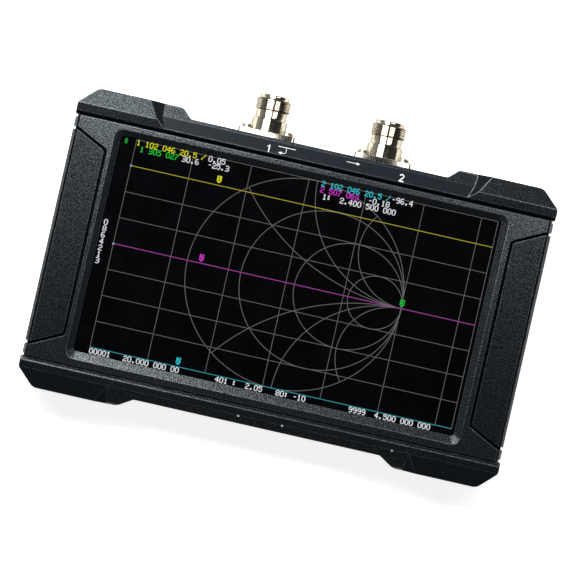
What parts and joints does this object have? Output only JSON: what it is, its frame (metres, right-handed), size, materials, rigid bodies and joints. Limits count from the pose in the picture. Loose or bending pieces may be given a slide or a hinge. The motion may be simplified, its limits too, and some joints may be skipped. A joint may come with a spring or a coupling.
{
  "type": "antenna analyzer",
  "caption": "Flat instrument with a large sunken touch screen, raised corner bumpers, side grips and a pair of threaded coaxial ports on its top edge.",
  "frame": {"origin": "centre of the flat rear face", "axes": "+Z out of the screen, +X to the right along the long side, +Y towards the ports"},
  "size_m": [0.216, 0.1494, 0.0327],
  "materials": {
    "case_plastic": "fine grained",
    "cap_plastic": "fine grained, smooth printed band",
    "grip_rubber": "fine grained",
    "screen_glass": "clear",
    "display": "dark, lit picture",
    "foam": "matte foam",
    "bracket_steel": "stamped",
    "ribbon": "flexible film",
    "board": "lacquered",
    "can_metal": "tinned",
    "chip": "moulded",
    "led": "small lamps",
    "light_pipe": "clear rods",
    "battery_wrap": "shrink film",
    "nickel": "bright nickel plate",
    "insulator": "white",
    "contact": "gold plate",
    "socket_steel": "tinned",
    "socket_plastic": "moulded",
    "knob_plastic": "moulded",
    "screw_steel": "zinc plate",
    "port_fastener": "nickel plate"
  },
  "bodies": {
    "case": {"front_shell": "case_plastic", "rear_shell": "case_plastic", "top_cap": "cap_plastic", "bottom_cap": "cap_plastic", "left_grip": "grip_rubber", "right_grip": "grip_rubber", "touch_glass": "screen_glass", "display_panel": "display", "display_gasket": "foam", "battery_pad": "foam", "display_bracket": "bracket_steel", "display_ribbon": "ribbon", "main_board": "board", "shield_cans": "can_metal", "board_chips": "chip", "status_leds": "led", "light_pipes": "light_pipe", "battery_pack": "battery_wrap", "port_1_shell": "nickel", "port_2_shell": "nickel", "port_1_insulator": "insulator", "port_2_insulator": "insulator", "port_1_contact": "contact", "port_2_contact": "contact", "usb_socket": "socket_steel", "card_socket": "socket_steel", "usb_tongue": "socket_plastic", "power_switch_housing": "socket_plastic", "jog_housing": "socket_plastic", "case_screws": "screw_steel", "top_cap_screws": "screw_steel", "bottom_cap_screws": "screw_steel", "bracket_screws": "screw_steel", "board_screws": "screw_steel", "port_screws": "port_fastener", "port_nuts": "port_fastener"},
    "power_slider": {"power_slider": "knob_plastic"},
    "jog_carriage": {"jog_carriage": "socket_plastic"},
    "jog_lever": {"jog_lever": "knob_plastic"}
  },
  "joints": [
    {"name": "power_slide", "type": "slide", "parent": "case", "child": "power_slider", "axis": [1, 0, 0], "range_m": [0, 0.002]},
    {"name": "jog_push", "type": "slide", "parent": "case", "child": "jog_carriage", "axis": [0, 1, 0], "range_m": [0, 0.0004], "stiffness_N_per_m": 1500},
    {"name": "jog_tilt", "type": "hinge", "parent": "jog_carriage", "child": "jog_lever", "pos_m": [-0.044, -0.0574, 0.0163], "axis": [0, 0, 1], "range_deg": [-12, 12], "stiffness_Nm_per_rad": 0.02}
  ]
}
